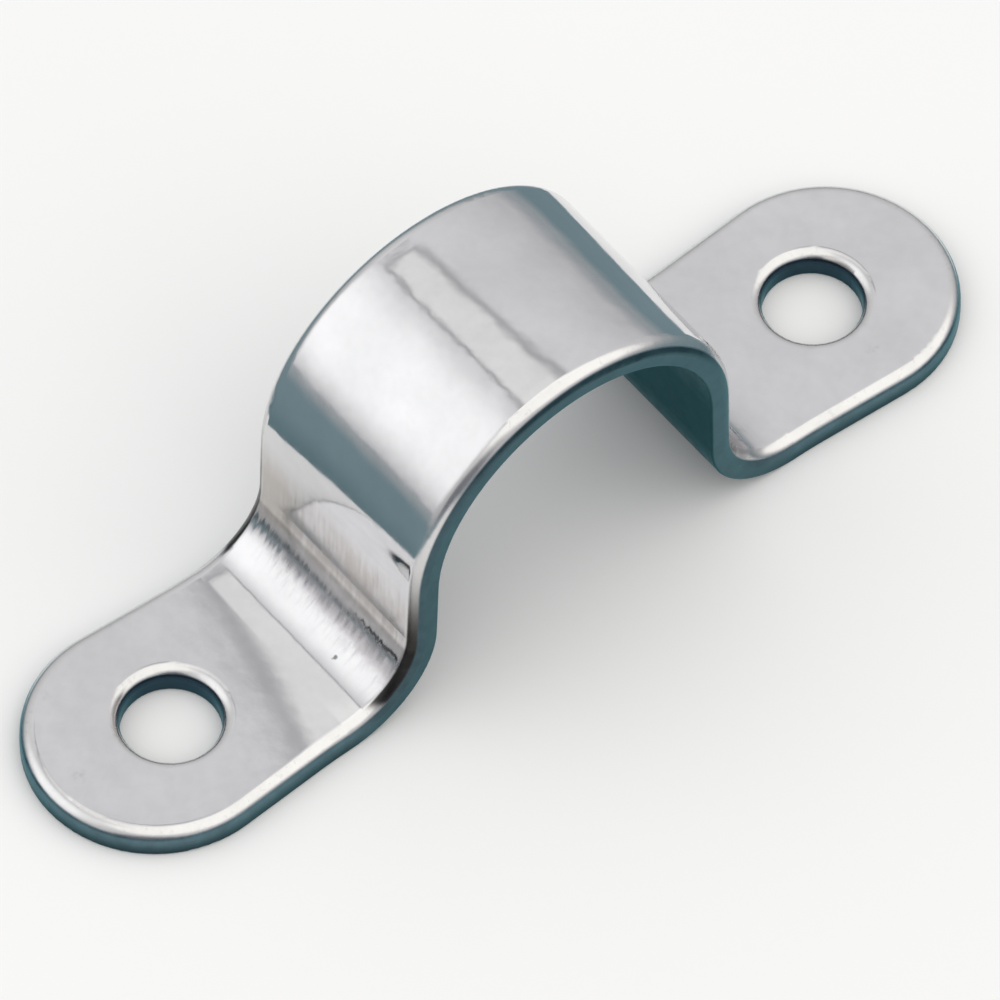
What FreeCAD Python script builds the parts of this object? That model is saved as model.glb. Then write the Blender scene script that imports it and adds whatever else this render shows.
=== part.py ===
import FreeCAD, Part
import math
import os

# Two-hole conduit strap, pressed from one piece of stainless steel sheet.
# Millimetres. X runs along the strap, Y along the conduit, Z up from the wall.
# The origin is midway between the screw holes, on the underside of the feet.

# The conduit, and the room that the saddle leaves it
CONDUIT_DIAMETER = 21.3
SADDLE_CLEARANCE = 0.15
CONDUIT_WALL_GAP = 0.4
LEG_ANGLE = 88.5

# Sheet and its rounded edges
SHEET_THICKNESS = 1.9
FOOT_BEND_RADIUS = 5.0
TOP_EDGE_RADIUS = 0.97
BOTTOM_EDGE_RADIUS = 0.16
HOLE_RIM_RADIUS = 0.85

# Plan: a band over the conduit, flaring a little into feet with full round ends
BAND_WIDTH = 16.0
FOOT_FLARE = 0.45
WAIST_BLEND_RADIUS = 40.0

# Screw holes, from where the bend leaves the foot and from the foot's tip
HOLE_DIAMETER = 6.4
HOLE_FROM_BEND = 7.85
HOLE_FROM_TIP = 9.65

# How near two points are when they count as the same, and when one lies on a skin
SAME_POINT = 1e-6
ON_SKIN = 1e-4
# Enough repeats for the corner of the waist to settle
WAIST_REPEATS = 20

# Sizes that follow from the driving dimensions
saddle_radius = CONDUIT_DIAMETER / 2 + SADDLE_CLEARANCE
saddle_axis_height = CONDUIT_DIAMETER / 2 + CONDUIT_WALL_GAP
leg_turn = math.radians(LEG_ANGLE)
under_bend_radius = FOOT_BEND_RADIUS + SHEET_THICKNESS
leg_rise = (
    saddle_axis_height
    + saddle_radius * math.cos(leg_turn)
    - under_bend_radius * (1 - math.cos(leg_turn))
)
leg_length = leg_rise / math.sin(leg_turn)
bend_start_x = (
    (saddle_radius + under_bend_radius) * math.sin(leg_turn)
    + leg_length * math.cos(leg_turn)
)
hole_x = bend_start_x + HOLE_FROM_BEND
tip_x = hole_x + HOLE_FROM_TIP
half_band = BAND_WIDTH / 2
foot_radius = half_band + FOOT_FLARE
foot_centre_x = tip_x - foot_radius
# Half the width of the uncut sheet, clear of the feet's sides
sheet_reach = 2 * foot_radius
# How far a cutter starts below the wall and ends above the part
cutter_clearance = SHEET_THICKNESS


def side_point(x, z):
    """A point of the side view, in the plane of symmetry."""
    return FreeCAD.Vector(x, 0, z)


def plan_point(x, y):
    """A point of the plan view, at wall level."""
    return FreeCAD.Vector(x, y, 0)


def flipped(point, sign_x, sign_y=1):
    return FreeCAD.Vector(sign_x * point.x, sign_y * point.y, point.z)


def arc_edge(start, middle, end):
    return Part.Arc(start, middle, end).toShape()


def line_edge(start, end):
    return Part.LineSegment(start, end).toShape()


def skin_edges(depth):
    """One skin of the sheet in side view, from one foot's tip to the other's.

    depth is measured into the sheet from its top skin. The bends' radius grows
    with depth, and the saddle's shrinks.
    """
    bend_radius = FOOT_BEND_RADIUS + depth
    arch_radius = saddle_radius + SHEET_THICKNESS - depth
    bend_centre_z = SHEET_THICKNESS + FOOT_BEND_RADIUS

    def on_bend(turn):
        return side_point(
            bend_start_x - bend_radius * math.sin(turn),
            bend_centre_z - bend_radius * math.cos(turn),
        )

    def on_arch(turn):
        return side_point(
            arch_radius * math.sin(turn),
            saddle_axis_height + arch_radius * math.cos(turn),
        )

    tip = side_point(tip_x, SHEET_THICKNESS - depth)
    bend_start = on_bend(0)
    bend_middle = on_bend(leg_turn / 2)
    bend_end = on_bend(leg_turn)
    arch_start = on_arch(leg_turn)
    edges = [arc_edge(arch_start, on_arch(0), flipped(arch_start, -1))]
    for sign in (1, -1):
        bend = [flipped(point, sign) for point in (bend_start, bend_middle, bend_end)]
        edges.append(line_edge(flipped(tip, sign), bend[0]))
        edges.append(arc_edge(bend[0], bend[1], bend[2]))
        edges.append(line_edge(bend[2], flipped(arch_start, sign)))
    return edges


def swept_across(shape):
    """Sweeps a side view over the whole width of the uncut sheet."""
    shape.translate(FreeCAD.Vector(0, -sheet_reach, 0))
    return shape.extrude(FreeCAD.Vector(0, 2 * sheet_reach, 0))


def skin_surface(depth):
    return swept_across(Part.Wire(Part.__sortEdges__(skin_edges(depth))))


def folded_sheet():
    """The bent sheet, before its sides and ends are cut."""
    edges = skin_edges(0) + skin_edges(SHEET_THICKNESS)
    for end_x in (tip_x, -tip_x):
        edges.append(line_edge(side_point(end_x, 0), side_point(end_x, SHEET_THICKNESS)))
    return swept_across(Part.Face(Part.Wire(Part.__sortEdges__(edges))))


def waist_corner():
    """Where the band's side would meet the foot's side, and the angle between them.

    The foot's side touches the round end. The blend at the corner starts where
    the bend leaves the foot, so corner and angle are found together, by repeats.
    """
    flare_angle = 0.0
    for _ in range(WAIST_REPEATS):
        corner_x = bend_start_x + WAIST_BLEND_RADIUS * math.tan(flare_angle / 2)
        reach = foot_centre_x - corner_x
        distance = math.hypot(reach, half_band)
        flare_angle = math.asin(foot_radius / distance) - math.atan2(half_band, reach)
    return corner_x, flare_angle


def plan_face():
    """The strap's outline seen from above."""
    corner_x, flare_angle = waist_corner()
    setback = WAIST_BLEND_RADIUS * math.tan(flare_angle / 2)
    band_end = plan_point(corner_x - setback, half_band)
    blend_middle = plan_point(
        band_end.x + WAIST_BLEND_RADIUS * math.sin(flare_angle / 2),
        half_band + WAIST_BLEND_RADIUS * (1 - math.cos(flare_angle / 2)),
    )
    blend_end = plan_point(
        corner_x + setback * math.cos(flare_angle),
        half_band + setback * math.sin(flare_angle),
    )
    touch = plan_point(
        foot_centre_x - foot_radius * math.sin(flare_angle),
        foot_radius * math.cos(flare_angle),
    )
    tip = plan_point(tip_x, 0)

    side = (band_end, blend_middle, blend_end, touch)
    edges = []
    for sign_x in (1, -1):
        round_end = [flipped(touch, sign_x), flipped(tip, sign_x), flipped(touch, sign_x, -1)]
        edges.append(arc_edge(round_end[0], round_end[1], round_end[2]))
        for sign_y in (1, -1):
            waist = [flipped(point, sign_x, sign_y) for point in side]
            edges.append(arc_edge(waist[0], waist[1], waist[2]))
            edges.append(line_edge(waist[2], waist[3]))
    for sign_y in (1, -1):
        edges.append(line_edge(flipped(band_end, 1, sign_y), flipped(band_end, -1, sign_y)))
    return Part.Face(Part.Wire(Part.__sortEdges__(edges)))


def is_seam(start, middle, end):
    """Whether an edge runs straight across the band, from side to side."""
    mirrored = abs(start.x - end.x) < SAME_POINT and abs(start.y + end.y) < SAME_POINT
    straight = abs(middle.y) < SAME_POINT and abs(middle.x - start.x) < SAME_POINT
    return mirrored and straight


def outline_edges(solid, depth):
    """The solid's edges that run round one skin, without the seams across the band."""
    surface = skin_surface(depth)
    found = []
    for edge in solid.Edges:
        start = edge.valueAt(edge.FirstParameter)
        middle = edge.valueAt((edge.FirstParameter + edge.LastParameter) / 2)
        end = edge.valueAt(edge.LastParameter)
        gaps = [surface.distToShape(Part.Vertex(point))[0] for point in (start, middle, end)]
        if max(gaps) < ON_SKIN and not is_seam(start, middle, end):
            found.append(edge)
    return found


def hole_edges(solid, height):
    """The rims of both screw holes at one height."""
    found = []
    for edge in solid.Edges:
        if not isinstance(edge.Curve, Part.Circle):
            continue
        centre = edge.Curve.Center
        at_hole = abs(abs(centre.x) - hole_x) < SAME_POINT and abs(centre.z - height) < SAME_POINT
        if at_hole and abs(edge.Curve.Radius - HOLE_DIAMETER / 2) < SAME_POINT:
            found.append(edge)
    return found


def make_strap():
    top_z = saddle_axis_height + saddle_radius + SHEET_THICKNESS
    cutter = plan_face()
    cutter.translate(FreeCAD.Vector(0, 0, -cutter_clearance))
    cutter = cutter.extrude(FreeCAD.Vector(0, 0, top_z + 2 * cutter_clearance))
    strap = folded_sheet().common(cutter)

    # The die rolls the top edges well over, and leaves the lower ones nearly square.
    strap = strap.makeFillet(TOP_EDGE_RADIUS, outline_edges(strap, 0))
    strap = strap.makeFillet(BOTTOM_EDGE_RADIUS, outline_edges(strap, SHEET_THICKNESS))

    drill_length = SHEET_THICKNESS + 2 * cutter_clearance
    for x in (hole_x, -hole_x):
        below = FreeCAD.Vector(x, 0, -cutter_clearance)
        strap = strap.cut(Part.makeCylinder(HOLE_DIAMETER / 2, drill_length, below))
    strap = strap.makeFillet(HOLE_RIM_RADIUS, hole_edges(strap, SHEET_THICKNESS))
    strap = strap.makeFillet(BOTTOM_EDGE_RADIUS, hole_edges(strap, 0))
    return strap.Solids[0]


os.makedirs("parts", exist_ok=True)
strap = make_strap()
strap.exportStep("parts/strap.step")
print("strap valid", strap.isValid(), "volume", round(strap.Volume, 3))
print("hole pitch", round(2 * hole_x, 3), "length", round(2 * tip_x, 3))
print("leg", round(leg_length, 3), "bend starts at", round(bend_start_x, 3))
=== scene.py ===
import math
from types import SimpleNamespace

import bpy
from mathutils import Matrix, Vector

# Look of the conduit strap: polished stainless sheet with duller cut edges, on a pale floor.
# The dark teal of the cut edges, hole walls and underside is painted reflection and shade.
# Metres throughout, in the part's own frame. X runs along the strap, Y along the conduit.
# The steel's own values are millimetres in the same frame, and its tilts are slopes.
# A range holds where something starts and where it is full. Two further numbers, where it has
# them, are its values there.

MM = 0.001

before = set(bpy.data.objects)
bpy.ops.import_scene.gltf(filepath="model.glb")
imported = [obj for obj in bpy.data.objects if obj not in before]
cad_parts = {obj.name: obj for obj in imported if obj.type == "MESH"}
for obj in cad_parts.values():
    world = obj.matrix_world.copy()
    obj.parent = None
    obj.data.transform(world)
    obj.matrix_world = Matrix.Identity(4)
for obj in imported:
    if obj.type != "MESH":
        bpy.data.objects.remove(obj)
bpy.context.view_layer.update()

# Camera: the aim point, the angles round it and the long lens of the picture
AIM = Vector((-1.405, -2.265, 6.117)) * MM
CAMERA_AZIMUTH = -39.242
CAMERA_ELEVATION = 54.705
CAMERA_ROLL = 0.649
CAMERA_DISTANCE = 1079.3 * MM
LENS = 625.2
SENSOR_WIDTH = 36.0
CLIP_START = 0.05
CLIP_END = 20.0

# The part of the floor that the camera sees, measured from the origin along and
# away from the picture's plane
FLOOR_VIEW_LEFT = -31.3 * MM
FLOOR_VIEW_RIGHT = 32.0 * MM
FLOOR_VIEW_FAR = 40.5 * MM
FLOOR_HALF_SIZE = 3.0
FLOOR_DROP = 0.01 * MM
FLOOR_COLOUR = (0.9, 0.9, 0.905, 1)
FLOOR_ROUGHNESS = 0.9

# The mats pale where they lie further off. The ranges are the slope of the line that falls to
# them from the top of the saddle.
MAT_HEIGHT = 0.1 * MM
MAT_ROUGHNESS = 0.8
SADDLE_TOP = 23.75 * MM
MAT_COLOUR = (0.2, 0.285, 0.32, 1)
NEAR_MAT_COLOUR = (0.13, 0.21, 0.24, 1)
FAR_MAT_COLOUR = (0.37, 0.41, 0.43, 1)
FAR_MAT_SLOPE = (0.0, 0.16)
NEAR_MAT_SLOPE = (0.36, 0.8)

# The room: its colours, and the heights over which they change. 1 is the brightness of white.
LIGHT_LEVEL = 0.92
ROOM_HEIGHT = (-0.45, 0.95)
LOW_ROOM = (0.5, 0.5, 0.51, 1)
HIGH_ROOM = (0.93, 0.93, 0.94, 1)
LOW_WALL = (0.42, 0.46, 0.48, 1)
# The height from which a wall darkens downwards, from the left wall to the right one
WALL_DARK_FROM = (-0.5, 0.5, 0.05, 0.2)

# Soft lights and a dark place: the azimuth and elevation of the centre, the angles to which it
# is full and at which it has ended, all in degrees, and its colour
LEFT_LIGHT = ((-125, 34), 5, 38, (1.48, 1.49, 1.49, 1))
RIGHT_LIGHT = ((50, 42), 19, 35, (1.5, 1.48, 1.42, 1))
FRONT_LIGHT = ((25, 60), 29, 41, (1.5, 1.49, 1.43, 1))
CAMERA_SIDE_LIGHT = ((-39, 66), 16, 26, (1.5, 1.49, 1.43, 1))
DARK_SIDE = ((-45, 8), 18, 31, (0.22, 0.23, 0.26, 1))

# The softbox overhead, on a ceiling at height 1 over the part, with soft edges
LOWEST_CEILING = 0.05
SOFTBOX_LEFT = (-0.165, -0.14)
SOFTBOX_RIGHT = (0.3, 0.26)
SOFTBOX_FAR = (0.64, 0.61)
SOFTBOX_HEIGHT = (0.5, 0.6)
SOFTBOX_FRONT = (-20, 55)
SOFTBOX_FRONT_NEARNESS = (0.45, 0.85)
SOFTBOX_BACK_COLOUR = (1.04, 1.04, 1.03, 1)
SOFTBOX_FRONT_COLOUR = (1.52, 1.51, 1.46, 1)
# Its frame: each bar's middle and half its width, and the ranges in which the bars end
LEFT_BAR = (-0.152, 0.042)
RIGHT_BAR = (0.285, 0.1)
RIGHT_BAR_STRENGTH = 0.85
SIDE_BARS_FAR_END = (0.65, 0.62)
FAR_BAR = (0.63, 0.05)
FAR_BAR_LEFT_END = (-0.18, -0.14)
FAR_BAR_RIGHT_END = (0.35, 0.28)
FRAME_NEAR_END = (0.15, 0.4)
FRAME_COLOUR = (0.5, 0.5, 0.52, 1)

# Shape values of the part that its finish follows
FOOT_BEND_START = 17.815
HOLE_X = 25.665
HOLE_RADIUS = 3.2

# Where a point lies on the sheet's skin: 1 on the top, 0 on a cut edge, -1 on the underside
POLISHED_SKIN = (0.5, 0.66)
UNDER_SKIN = (-0.2, -0.7)
ROUNDED_EDGE_OUTSIDE = (0.45, 0.7)
ROUNDED_EDGE_INSIDE = (0.995, 0.96)
# Skin ranges of the painted dark reflection line beside each leg
PAINTED_LEG_LINE_OUTSIDE = (0.3, 0.6)
PAINTED_LEG_LINE_INSIDE = (0.995, 0.95)

# Random patterns of the surface: scale, detail and roughness
STREAKS = (0.55, 3.0, 0.6)
CLOUDS = (0.22, 3.0)
HAZE = (0.9, 4.0, 0.6)
PIT_EDGE = (3.5, 2.0)
SMUDGE_BREAKS = (1.5, 3.0)
NICK_SPOTS = (2.6, 2.0)
WAVES = (0.3, 2.0)
GRAIN = (1.3, 3.0)
STREAK_STRETCH_ACROSS = 5.0
STREAK_STRETCH_ALONG = 0.45

# The scuff line on each bend, which rises a little towards the far side and fades there
SCUFF_HEIGHT = 4.15
SCUFF_SLOPE = 0.045
SCUFF_WANDER = 0.9
SCUFF_CORE_REACH = 1.15
SCUFF_CORE_STRENGTH = 0.7
SCUFF_FRINGE_DROP = 0.1
SCUFF_FRINGE_REACH = 1.6
SCUFF_FRINGE_STREAKS = (0.4, 0.85)
SCUFF_FAR_SIDE = (8.0, 3.0, 0.35, 1.0)
SCRATCH_REACH = 1.7
SCRATCH_TILT = 0.45

# The rubbed leg above the scuff, its darker low part, and fine ticks along it
LEG_FROM = (4.6, 6.0)
LEG_TO = (12.5, 8.5)
RUB_STREAK_SHARE = 0.7
RUB_PATCHES = (0.62, 0.95, 0.45, 1.0)
LOW_RUB_FROM = (4.1, 4.7)
LOW_RUB_TO = (6.1, 5.5)
LOW_RUB_HAZE = (0.3, 0.6, 0.7, 1.0)
TICKS_TO = (14.5, 11.0)
TICK_STREAKS = (0.62, 0.8)

# A pit in the left bend, and faint smudges, each with a place and a size
PIT = (-15.3, -3.3, 2.55)
PIT_SIZE = 0.26
PIT_RAGGEDNESS = 0.5
SMUDGES = (
    ((-32.9, -0.1, 1.9), 0.8),
    ((-30.9, 6.0, 1.9), 0.6),
    ((26.1, -5.4, 1.9), 0.7),
    ((15.6, -5.4, 2.6), 0.9),
)
SMUDGE_COVER = (0.35, 0.7)
# The share of a spot's size that is full
SPOT_CORE = 0.1

# Nicks in the rounded edges, and the painted dark reflection line beside each leg, by height,
# distance from the middle and side: it is fainter on the right
NICK_COVER = (0.55, 0.75)
PAINTED_LEG_LINE_FROM = (1.9, 2.6)
PAINTED_LEG_LINE_TO = (17.0, 5.0)
PAINTED_LEG_LINE_FOOT_END = (17.0, 15.6)
PAINTED_LEG_LINE_SIDE = (-1.0, 1.0, 1.0, 0.3)

# Finish colours
POLISHED = (0.69, 0.685, 0.695, 1)
RUBBED = (0.51, 0.478, 0.451, 1)
SCUFFED = (0.59, 0.55, 0.565, 1)
# Painted reflection: the cut edge's dark teal stands for a dark surrounding seen in it
CUT_EDGE_PAINTED_REFLECTION = (0.068, 0.112, 0.131, 1)
# Painted shade: the hole wall's near-black teal stands for shade and dark reflection in the hole
HOLE_WALL_PAINTED_SHADE = (0.032, 0.058, 0.082, 1)
# Painted reflection: the underside's dark teal stands for a dark surrounding seen in it
UNDERSIDE_PAINTED_REFLECTION = (0.018, 0.062, 0.073, 1)
# Painted reflection: a teal tint of the dull parts' reflections
DULL_PAINTED_REFLECTION_TINT = (0.66, 0.95, 1.0, 1)
# Painted highlight: a warm tint on the rounded edges, where the highlights fall
EDGE_PAINTED_HIGHLIGHT_WARMTH = (1.0, 0.992, 0.978, 1)
WHITE = (1, 1, 1, 1)

# The part of its brightness that the metal keeps under each mark
CLOUD_SHADE = (0.3, 0.7, 0.955, 1.03)
HAZE_SHADE = (0.3, 0.75, 1.01, 0.975)
TICK_SHADE = 0.85
SMUDGE_SHADE = 0.82
PIT_SHADE = 0.3
LOW_RUB_SHADE = 0.56
NICK_SHADE = 0.93
# Under the painted dark reflection line beside each leg
PAINTED_LEG_LINE_SHADE = 0.07
# The painted shade of the cut edge by height, darker towards the bottom, on the feet alone, and the
# mottle of both dull finishes
CUT_EDGE_PAINTED_SHADE = (0.0, 1.5, 0.45, 1.75)
CUT_EDGE_PAINTED_SHADE_FOOT = (14.5, 19.0)
# How far from a hole's axis its wall's painted shade reaches
HOLE_WALL_PAINTED_SHADE_REACH = (HOLE_RADIUS + 0.8, HOLE_RADIUS + 0.4)
HAZE_MOTTLE = (0.3, 0.7, 0.86, 1.1)
CLOUD_MOTTLE = (0.3, 0.7, -0.06, 0.06)

# Roughness of the polished and the dull skin over the haze, and what each mark adds
POLISHED_ROUGHNESS = (0.3, 0.7, 0.07, 0.11)
DULL_ROUGHNESS = (0.3, 0.7, 0.28, 0.38)
SCUFF_ROUGHNESS = 0.3
RUB_ROUGHNESS = 0.1
EDGE_ROUGHNESS = 0.13
UNDERSIDE_ROUGHNESS = 0.04

# The left foot lifts a little before the bend, further out at the near side than at the far one
WEDGE_START = 17.85
WEDGE_SLANT = -0.24
WEDGE_CURVE = 0.006
WEDGE_BLEND = 2.4
WEDGE_TILT = 0.125
WEDGE_APPROACH = 8.0
WEDGE_APPROACH_TILT = 0.042
WEDGE_END = (16.5, 17.8)
# The bend leaves the foot a little later than a true arc would
BEND_LAG_TILT = 0.05
BEND_LAG_FROM = (17.8, 16.5, 0.0, BEND_LAG_TILT)
BEND_LAG_TO = (13.5, 15.8)
# The first facet of each foot bend starts already tilted by this much, up to its end
FACET_TILT = 0.055
FACET_END = 17.264
# The crown twists slightly
TWIST_TILT = 0.004
TWIST_REACH = (3.2, 1.6)
# The band rolls off slightly towards its sides, along a line that wanders
ROLL_OFF_START = 5.2
ROLL_OFF_END = 7.2
ROLL_OFF_TILT = 0.055
ROLL_OFF_WANDER = 2.4

# Relief: the height of the waves from the crown outwards, of the grain, and the scuff's depth
WAVE_HEIGHT = (4.5, 8.5, 0.052, 0.022)
GRAIN_HEIGHT = 0.003
SCUFF_DEPTH = 0.01


class Graph:
    """Short calls for building a node tree."""

    def __init__(self, tree):
        self.tree = tree
        self.tree.nodes.clear()

    def node(self, kind, inputs=None, **settings):
        made = self.tree.nodes.new(kind)
        for name, value in settings.items():
            setattr(made, name, value)
        for name, value in (inputs or {}).items():
            self.feed(made.inputs[name], value)
        return made

    def feed(self, socket, value):
        if isinstance(value, bpy.types.NodeSocket):
            self.tree.links.new(value, socket)
        else:
            socket.default_value = value

    def finish(self, kind, shader):
        """Adds the output node and gives it the shader as its surface."""
        self.node(kind, {"Surface": shader.outputs[0]})

    def math(self, operation, *values):
        inputs = dict(enumerate(values))
        return self.node("ShaderNodeMath", inputs, operation=operation).outputs[0]

    def product(self, first, *others):
        for other in others:
            first = self.math("MULTIPLY", first, other)
        return first

    def vector_math(self, operation, a, b=None):
        inputs = {0: a} if b is None else {0: a, 1: b}
        return self.node("ShaderNodeVectorMath", inputs, operation=operation)

    def combined(self, x, y=0.0, z=0.0):
        return self.node("ShaderNodeCombineXYZ", {0: x, 1: y, 2: z}).outputs[0]

    def step(self, value, start, end, low=0.0, high=1.0):
        """Goes smoothly from low to high as value goes from start to end."""
        inputs = {"Value": value, "From Min": start, "From Max": end, "To Min": low, "To Max": high}
        made = self.node("ShaderNodeMapRange", inputs, interpolation_type="SMOOTHSTEP")
        return made.outputs["Result"]

    def band(self, value, centre, half_width):
        """1 at the centre, falling smoothly to 0 at half_width to either side."""
        distance = self.math("ABSOLUTE", self.math("SUBTRACT", value, centre))
        return self.step(distance, 0.0, half_width, 1.0, 0.0)

    def mix(self, factor, a, b, kind="RGBA", blend="MIX"):
        made = self.node("ShaderNodeMix", data_type=kind, blend_type=blend)
        sockets = [s for s in made.inputs if s.enabled]
        for socket, value in zip(sockets, (factor, a, b)):
            self.feed(socket, value)
        return [s for s in made.outputs if s.enabled][0]

    def blend_value(self, factor, a, b):
        return self.mix(factor, a, b, kind="FLOAT")

    def shaded(self, colour, value):
        """The colour with all three channels times the value."""
        return self.mix(1.0, colour, self.combined(value, value, value), blend="MULTIPLY")

    def noise(self, vector, scale, detail=2.0, roughness=0.5):
        inputs = {"Vector": vector, "Scale": scale, "Detail": detail, "Roughness": roughness}
        return self.node("ShaderNodeTexNoise", inputs).outputs["Fac"]


def direction(azimuth, elevation):
    """Unit vector towards a place round the object. Azimuth 0 is at -Y and 90 at +X."""
    a = math.radians(azimuth)
    e = math.radians(elevation)
    return Vector((math.sin(a) * math.cos(e), -math.cos(a) * math.cos(e), math.sin(e)))


def make_camera():
    back = direction(CAMERA_AZIMUTH, CAMERA_ELEVATION)
    level = direction(CAMERA_AZIMUTH + 90, 0)
    upright = back.cross(level)
    roll = math.radians(CAMERA_ROLL)
    right = level * math.cos(roll) + upright * math.sin(roll)
    up = back.cross(right)
    data = bpy.data.cameras.new("camera")
    data.sensor_width = SENSOR_WIDTH
    data.lens = LENS
    data.clip_start = CLIP_START
    data.clip_end = CLIP_END
    camera = bpy.data.objects.new("camera", data)
    turn = Matrix((right, up, back)).transposed()
    camera.matrix_world = Matrix.Translation(AIM + back * CAMERA_DISTANCE) @ turn.to_4x4()
    bpy.context.scene.collection.objects.link(camera)
    bpy.context.scene.camera = camera


def nearness_to(g, sky, azimuth, elevation):
    """The cosine of the angle between a place of the sky and another."""
    return g.vector_math("DOT_PRODUCT", sky, direction(azimuth, elevation)).outputs["Value"]


def with_light(g, room, sky, light):
    """The room with one of the soft lights, or the dark place, mixed in."""
    centre, full_angle, end_angle, colour = light
    full = math.cos(math.radians(full_angle))
    end = math.cos(math.radians(end_angle))
    return g.mix(g.step(nearness_to(g, sky, *centre), end, full), room, colour)


def make_world():
    """A soft studio: a grey room, a softbox overhead, lights round it, and a dark side."""
    world = bpy.data.worlds.new("studio")
    world.use_nodes = True
    bpy.context.scene.world = world
    g = Graph(world.node_tree)
    sky = g.vector_math("NORMALIZE", g.node("ShaderNodeTexCoord").outputs["Generated"]).outputs[0]
    parts = g.node("ShaderNodeSeparateXYZ", {0: sky}).outputs
    sky_x, sky_y, height = parts["X"], parts["Y"], parts["Z"]

    # The grey room, dimmer towards the horizon, with the lights on both sides
    room = g.mix(g.step(height, *ROOM_HEIGHT), LOW_ROOM, HIGH_ROOM)
    room = with_light(g, room, sky, LEFT_LIGHT)
    room = with_light(g, room, sky, RIGHT_LIGHT)
    # The walls darken near the floor, the right one from higher up
    dark_from = g.step(sky_x, *WALL_DARK_FROM)
    room = g.mix(g.step(height, dark_from, 0.0), room, LOW_WALL)

    # The softbox overhead, on the plane of the ceiling. It is brighter towards the camera.
    above = g.math("MAXIMUM", height, LOWEST_CEILING)
    ceiling_x = g.math("DIVIDE", sky_x, above)
    ceiling_y = g.math("DIVIDE", sky_y, above)
    within = g.product(
        g.step(ceiling_x, *SOFTBOX_LEFT),
        g.step(ceiling_x, *SOFTBOX_RIGHT),
        g.step(ceiling_y, *SOFTBOX_FAR),
        g.step(height, *SOFTBOX_HEIGHT),
    )
    towards_front = g.step(nearness_to(g, sky, *SOFTBOX_FRONT), *SOFTBOX_FRONT_NEARNESS)
    softbox = g.mix(towards_front, SOFTBOX_BACK_COLOUR, SOFTBOX_FRONT_COLOUR)
    room = g.mix(within, room, softbox)

    # Its dark frame, on the far side
    right_bar = g.math("MULTIPLY", g.band(ceiling_x, *RIGHT_BAR), RIGHT_BAR_STRENGTH)
    side_bars = g.math("MAXIMUM", g.band(ceiling_x, *LEFT_BAR), right_bar)
    side_bars = g.math("MULTIPLY", side_bars, g.step(ceiling_y, *SIDE_BARS_FAR_END))
    far_bar = g.product(
        g.step(ceiling_x, *FAR_BAR_LEFT_END),
        g.step(ceiling_x, *FAR_BAR_RIGHT_END),
        g.band(ceiling_y, *FAR_BAR),
    )
    bars = g.math("MAXIMUM", side_bars, far_bar)
    bars = g.math("MULTIPLY", bars, g.step(ceiling_y, *FRAME_NEAR_END))
    room = g.mix(bars, room, FRAME_COLOUR)

    # The lights over the front, and the dark side of the room behind the camera
    room = with_light(g, room, sky, FRONT_LIGHT)
    room = with_light(g, room, sky, CAMERA_SIDE_LIGHT)
    room = with_light(g, room, sky, DARK_SIDE)

    background = g.node("ShaderNodeBackground", {"Color": room, "Strength": LIGHT_LEVEL})
    g.finish("ShaderNodeOutputWorld", background)


def new_material(name):
    """A material without nodes, and the graph to fill it with."""
    material = bpy.data.materials.new(name)
    material.use_nodes = True
    return material, Graph(material.node_tree)


def finish_matte(g, colour, roughness):
    inputs = {"Base Color": colour, "Roughness": roughness, "Specular IOR Level": 0.0}
    g.finish("ShaderNodeOutputMaterial", g.node("ShaderNodeBsdfPrincipled", inputs))


def floor_material():
    material, g = new_material("pale_floor")
    finish_matte(g, FLOOR_COLOUR, FLOOR_ROUGHNESS)
    return material


def mat_material():
    """A dark matte finish that pales with distance."""
    material, g = new_material("dark_mat")
    place = g.node("ShaderNodeTexCoord").outputs["Object"]
    distance = g.vector_math("LENGTH", place).outputs["Value"]
    slope = g.math("DIVIDE", SADDLE_TOP, distance)
    colour = g.mix(g.step(slope, *FAR_MAT_SLOPE), FAR_MAT_COLOUR, MAT_COLOUR)
    colour = g.mix(g.step(slope, *NEAR_MAT_SLOPE), colour, NEAR_MAT_COLOUR)
    finish_matte(g, colour, MAT_ROUGHNESS)
    return material


def rectangle(left, right, near, far):
    return ((left, near), (right, near), (right, far), (left, far))


def make_sheet(name, corners, height, material):
    """A flat sheet of the stage, level with the floor."""
    mesh = bpy.data.meshes.new(name)
    mesh.from_pydata([(x, y, height) for x, y in corners], [], [list(range(len(corners)))])
    mesh.materials.append(material)
    sheet = bpy.data.objects.new(name, mesh)
    bpy.context.scene.collection.objects.link(sheet)
    return sheet


def make_floor():
    far = FLOOR_HALF_SIZE
    make_sheet("floor", rectangle(-far, far, -far, far), -FLOOR_DROP, floor_material())


def make_mats():
    """Dark mats on the floor outside the picture, which the polished saddle reflects.

    They lie left and right of the picture and beyond its far edge. Like a lamp,
    they don't show themselves or shade the floor, so that other views keep it plain.
    """
    material = mat_material()
    across = direction(CAMERA_AZIMUTH + 90, 0)
    away = -direction(CAMERA_AZIMUTH, 0)
    end = FLOOR_HALF_SIZE
    mats = {
        "mat_left": rectangle(-end, FLOOR_VIEW_LEFT, -end, end),
        "mat_far": rectangle(FLOOR_VIEW_LEFT, FLOOR_VIEW_RIGHT, FLOOR_VIEW_FAR, end),
        "mat_right": rectangle(FLOOR_VIEW_RIGHT, end, -end, end),
    }
    for name, corners in mats.items():
        places = [across * u + away * v for u, v in corners]
        mat = make_sheet(name, [(p.x, p.y) for p in places], MAT_HEIGHT, material)
        mat.visible_camera = False
        mat.visible_diffuse = False
        mat.visible_shadow = False


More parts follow.
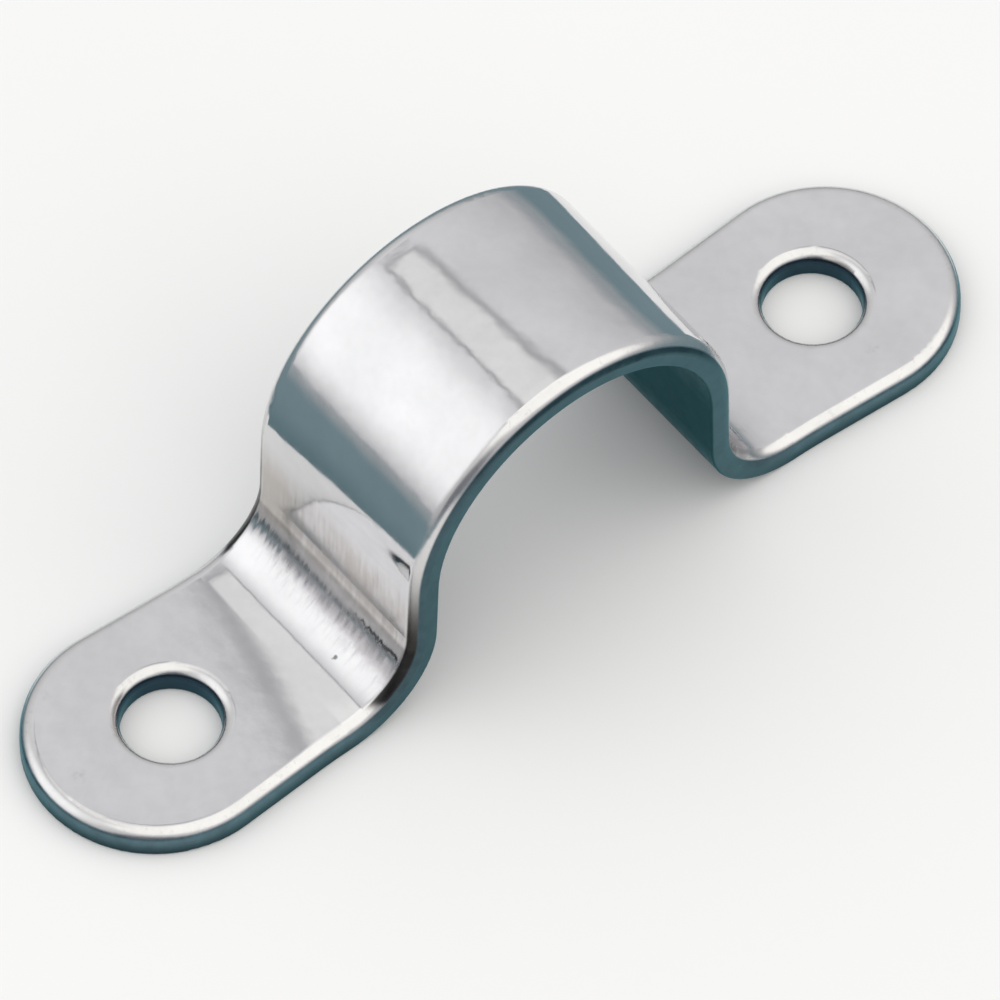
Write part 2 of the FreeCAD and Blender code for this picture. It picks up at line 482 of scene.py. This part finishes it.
def read_surface(g):
    """Where a point of the steel lies, how it faces, and the random patterns there."""
    coordinates = g.node("ShaderNodeTexCoord").outputs
    scaled = g.vector_math("SCALE", coordinates["Object"])
    scaled.inputs["Scale"].default_value = 1 / MM
    place = scaled.outputs[0]
    split = g.node("ShaderNodeSeparateXYZ", {0: place}).outputs
    x, y, z = split[0], split[1], split[2]
    normal = coordinates["Normal"]
    facing = g.node("ShaderNodeSeparateXYZ", {0: normal}).outputs
    normal_x, normal_y, normal_z = facing[0], facing[1], facing[2]
    side = g.math("SIGN", x)
    from_middle = g.math("ABSOLUTE", x)
    on_foot = g.math("GREATER_THAN", from_middle, FOOT_BEND_START)

    # How far the surface turns from the sheet's top skin: 1 on it, 0 on a cut edge, -1 below
    outwards = g.math("MULTIPLY", normal_x, side)
    skin_side = g.math("SIGN", g.math("ADD", outwards, normal_z))
    across_band = g.math("SUBTRACT", 1.0, g.math("MULTIPLY", normal_y, normal_y))
    on_band = g.math("MULTIPLY", skin_side, g.math("SQRT", across_band))
    skin = g.blend_value(on_foot, on_band, normal_z)

    # The streaks that the die drew run along the strap, fine across the band
    along = g.math("SUBTRACT", z, from_middle)
    drawn = g.combined(
        g.math("MULTIPLY", y, STREAK_STRETCH_ACROSS),
        g.math("MULTIPLY", along, STREAK_STRETCH_ALONG),
    )
    return SimpleNamespace(
        place=place,
        x=x,
        y=y,
        z=z,
        side=side,
        from_middle=from_middle,
        off_foot=g.math("SUBTRACT", 1.0, on_foot),
        normal=normal,
        skin=skin,
        polished=g.step(skin, *POLISHED_SKIN),
        underside=g.step(skin, *UNDER_SKIN),
        rounded=g.product(
            g.step(skin, *ROUNDED_EDGE_OUTSIDE),
            g.step(skin, *ROUNDED_EDGE_INSIDE),
        ),
        streaks=g.noise(drawn, *STREAKS),
        clouds=g.noise(place, *CLOUDS),
        haze=g.noise(place, *HAZE),
    )


def scuff_line(g, at):
    """The die's scuff where the bend turns into the leg, and the scratches that tilt it."""
    wander = g.math("MULTIPLY", g.math("SUBTRACT", at.haze, 0.5), SCUFF_WANDER)
    height = g.math("ADD", g.math("MULTIPLY_ADD", at.y, -SCUFF_SLOPE, at.z), wander)
    core = g.band(height, SCUFF_HEIGHT, SCUFF_CORE_REACH)
    core = g.math("MULTIPLY", core, SCUFF_CORE_STRENGTH)
    fringe = g.band(height, SCUFF_HEIGHT - SCUFF_FRINGE_DROP, SCUFF_FRINGE_REACH)
    fringe = g.math("MULTIPLY", fringe, g.step(at.streaks, *SCUFF_FRINGE_STREAKS))
    far_side = g.step(at.y, *SCUFF_FAR_SIDE)
    scuff = g.product(g.math("MAXIMUM", core, fringe), far_side, at.off_foot, at.polished)
    scratches = g.math("MULTIPLY_ADD", at.streaks, SCRATCH_TILT, -SCRATCH_TILT / 2)
    scratches = g.product(g.band(height, SCUFF_HEIGHT, SCRATCH_REACH), at.off_foot, scratches)
    return scuff, scratches


def leg_rubs(g, at):
    """Rubbed patches on the leg, the darker rub at its foot, and fine ticks."""
    leg_from = g.step(at.z, *LEG_FROM)
    patches = g.math("ADD", at.clouds, g.math("MULTIPLY", at.streaks, RUB_STREAK_SHARE))
    rubbed = g.product(leg_from, g.step(at.z, *LEG_TO), g.step(patches, *RUB_PATCHES))
    low_rub = g.product(
        g.step(at.z, *LOW_RUB_FROM),
        g.step(at.z, *LOW_RUB_TO),
        g.step(at.haze, *LOW_RUB_HAZE),
        at.off_foot,
    )
    ticks = g.product(leg_from, g.step(at.z, *TICKS_TO), g.step(at.streaks, *TICK_STREAKS))
    return rubbed, low_rub, ticks


def spots(g, at):
    """The pit in the bend, and the faint smudges."""
    from_pit = g.vector_math("DISTANCE", at.place, PIT).outputs["Value"]
    from_pit = g.math("SUBTRACT", from_pit, PIT_RAGGEDNESS / 2)
    from_pit = g.math("MULTIPLY_ADD", g.noise(at.place, *PIT_EDGE), PIT_RAGGEDNESS, from_pit)
    pit = g.step(from_pit, PIT_SIZE, PIT_SIZE * SPOT_CORE)
    smudges = 0.0
    for centre, size in SMUDGES:
        distance = g.vector_math("DISTANCE", at.place, centre).outputs["Value"]
        smudges = g.math("MAXIMUM", smudges, g.step(distance, size, size * SPOT_CORE))
    breaks = g.step(g.noise(at.place, *SMUDGE_BREAKS), *SMUDGE_COVER)
    return pit, g.math("MULTIPLY", smudges, breaks)


def nicks_and_painted_leg_line(g, at):
    """Fine nicks along the rounded edges, and a painted dark reflection line beside each leg."""
    nicks = g.step(g.noise(at.place, *NICK_SPOTS), *NICK_COVER)
    # The painted dark reflection line beside each leg
    painted_leg_line = g.product(
        g.step(at.z, *PAINTED_LEG_LINE_FROM),
        g.step(at.z, *PAINTED_LEG_LINE_TO),
        g.step(at.from_middle, *PAINTED_LEG_LINE_FOOT_END),
        g.step(at.x, *PAINTED_LEG_LINE_SIDE),
        g.step(at.skin, *PAINTED_LEG_LINE_OUTSIDE),
        g.step(at.skin, *PAINTED_LEG_LINE_INSIDE),
    )
    return g.math("MULTIPLY", at.rounded, nicks), painted_leg_line


def read_marks(g, at):
    scuff, scratches = scuff_line(g, at)
    rubbed, low_rub, ticks = leg_rubs(g, at)
    pit, smudges = spots(g, at)
    nicks, painted_leg_line = nicks_and_painted_leg_line(g, at)
    return SimpleNamespace(
        scuff=scuff,
        scratches=scratches,
        rubbed=rubbed,
        low_rub=low_rub,
        ticks=ticks,
        pit=pit,
        smudges=smudges,
        nicks=nicks,
        painted_leg_line=painted_leg_line,
    )


def polished_colour(g, at, marks):
    """The bright metal, darker under each mark and under the painted dark reflection line beside
    each leg.
    """
    shades = (
        (marks.ticks, TICK_SHADE),
        (marks.smudges, SMUDGE_SHADE),
        (marks.pit, PIT_SHADE),
        (marks.low_rub, LOW_RUB_SHADE),
        (marks.nicks, NICK_SHADE),
        (marks.painted_leg_line, PAINTED_LEG_LINE_SHADE),
    )
    brightness = g.product(
        g.step(at.clouds, *CLOUD_SHADE),
        g.step(at.haze, *HAZE_SHADE),
        *(g.step(mark, 0.0, 1.0, 1.0, shade) for mark, shade in shades),
    )
    colour = g.shaded(g.mix(marks.rubbed, POLISHED, RUBBED), brightness)
    colour = g.mix(marks.scuff, colour, SCUFFED, blend="MULTIPLY")
    # The rounded edges get the warm tint of a painted highlight
    return g.mix(at.rounded, colour, EDGE_PAINTED_HIGHLIGHT_WARMTH, blend="MULTIPLY")


def painted_dull_colour(g, at):
    """The cut edges, the hole walls and the underside, whose dark teal is painted reflection and
    shade, mottled as rolled sheet is.
    """
    # The cut edge of a foot carries painted shade: brightest under the rolled corner and darker
    # towards the bottom
    on_foot = g.step(at.from_middle, *CUT_EDGE_PAINTED_SHADE_FOOT)
    shade = g.blend_value(on_foot, 1.0, g.step(at.z, *CUT_EDGE_PAINTED_SHADE))
    # The cut edge's painted reflection, with its painted shade by height
    edge = g.shaded(CUT_EDGE_PAINTED_REFLECTION, shade)
    # Round each hole, the wall gets the darker painted shade
    from_hole = g.combined(g.math("SUBTRACT", at.from_middle, HOLE_X), at.y)
    hole_reach = g.vector_math("LENGTH", from_hole).outputs["Value"]
    edge = g.mix(g.step(hole_reach, *HOLE_WALL_PAINTED_SHADE_REACH), edge, HOLE_WALL_PAINTED_SHADE)
    # The underside gets its dark teal painted reflection
    dull = g.mix(at.underside, edge, UNDERSIDE_PAINTED_REFLECTION)
    mottle = g.math("ADD", g.step(at.haze, *HAZE_MOTTLE), g.step(at.clouds, *CLOUD_MOTTLE))
    return g.shaded(dull, mottle)


def steel_roughness(g, at, marks):
    polished = g.step(at.haze, *POLISHED_ROUGHNESS)
    rubs = g.math("ADD", marks.rubbed, marks.ticks)
    added = ((marks.scuff, SCUFF_ROUGHNESS), (rubs, RUB_ROUGHNESS), (at.rounded, EDGE_ROUGHNESS))
    for mark, roughness in added:
        polished = g.math("ADD", polished, g.math("MULTIPLY", mark, roughness))
    underside = g.math("MULTIPLY", at.underside, UNDERSIDE_ROUGHNESS)
    dull = g.math("ADD", g.step(at.haze, *DULL_ROUGHNESS), underside)
    return g.blend_value(at.polished, dull, polished)


def pressed_normal(g, at, marks):
    """The surface's normal with the small tilts that the press leaves."""
    # The wedge on the left foot
    slant = g.math("MULTIPLY_ADD", at.y, WEDGE_CURVE, WEDGE_SLANT)
    start = g.math("MULTIPLY_ADD", slant, at.y, WEDGE_START)
    into_wedge = g.math("SUBTRACT", start, at.from_middle)
    wedge = g.step(into_wedge, -WEDGE_BLEND, WEDGE_BLEND, 0.0, WEDGE_TILT)
    approach = g.step(into_wedge, -WEDGE_APPROACH, 0.0, 0.0, WEDGE_APPROACH_TILT)
    on_left = g.math("LESS_THAN", at.x, 0.0)
    wedge_end = g.step(at.from_middle, *WEDGE_END)
    wedge = g.product(g.math("ADD", wedge, approach), wedge_end, on_left)

    # The late start of both bends, where the first facet's own tilt is taken back too
    lag_from = g.step(at.from_middle, *BEND_LAG_FROM)
    lag = g.math("MULTIPLY", lag_from, g.step(at.from_middle, *BEND_LAG_TO))
    facet = g.step(at.from_middle, FACET_END, FOOT_BEND_START, 0.0, FACET_TILT)
    lag = g.math("MULTIPLY_ADD", facet, at.off_foot, lag)
    lag = g.math("MULTIPLY", lag, at.side)

    # The twist over the crown, and the rolled-off sides of the band
    twist = g.product(at.y, TWIST_TILT, g.step(at.from_middle, *TWIST_REACH))
    reach = g.math("SUBTRACT", g.math("ABSOLUTE", at.y), ROLL_OFF_WANDER / 2)
    reach = g.math("MULTIPLY_ADD", at.clouds, ROLL_OFF_WANDER, reach)
    roll_off = g.step(reach, ROLL_OFF_START, ROLL_OFF_END, 0.0, ROLL_OFF_TILT)
    roll_off = g.product(roll_off, g.math("SIGN", at.y), at.off_foot)

    tilt_x = g.math("SUBTRACT", g.math("SUBTRACT", twist, wedge), lag)
    tilt = g.combined(tilt_x, roll_off, marks.scratches)
    tilted = g.vector_math("ADD", at.normal, tilt).outputs[0]
    return g.vector_math("NORMALIZE", tilted).outputs[0]


def relief_height(g, at, marks):
    """Gentle waves of pressed sheet, fine grain and the scuff."""
    wave_height = g.step(at.from_middle, *WAVE_HEIGHT)
    waves = g.math("MULTIPLY", g.noise(at.place, *WAVES), wave_height)
    grain = g.math("MULTIPLY", g.noise(at.place, *GRAIN), GRAIN_HEIGHT)
    scuff = g.product(marks.scuff, at.streaks, SCUFF_DEPTH)
    return g.math("SUBTRACT", g.math("ADD", waves, grain), scuff)


def make_steel():
    """Polished sheet, with the die's marks, and duller cut edges and underside, whose dark teal is
    painted reflection and shade.
    """
    material, g = new_material("polished_steel")
    at = read_surface(g)
    marks = read_marks(g, at)
    # The dull parts take their painted dark reflection and shade, the top skin its polished colour
    colour = g.mix(at.polished, painted_dull_colour(g, at), polished_colour(g, at, marks))
    relief = g.node("ShaderNodeBump", {
        "Height": relief_height(g, at, marks),
        "Strength": 1.0,
        "Distance": MM,
        "Normal": pressed_normal(g, at, marks),
    })
    shader = g.node("ShaderNodeBsdfPrincipled", {
        "Base Color": colour,
        "Metallic": 1.0,
        "Roughness": steel_roughness(g, at, marks),
        # The dull parts' reflections get a painted teal tint
        "Specular Tint": g.mix(at.polished, DULL_PAINTED_REFLECTION_TINT, WHITE),
        "Normal": relief.outputs[0],
    })
    g.finish("ShaderNodeOutputMaterial", shader)
    return material


make_camera()
make_world()
make_floor()
make_mats()

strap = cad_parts["strap"]
strap.material_slots[0].material = make_steel()

bpy.context.scene.view_settings.view_transform = "Standard"
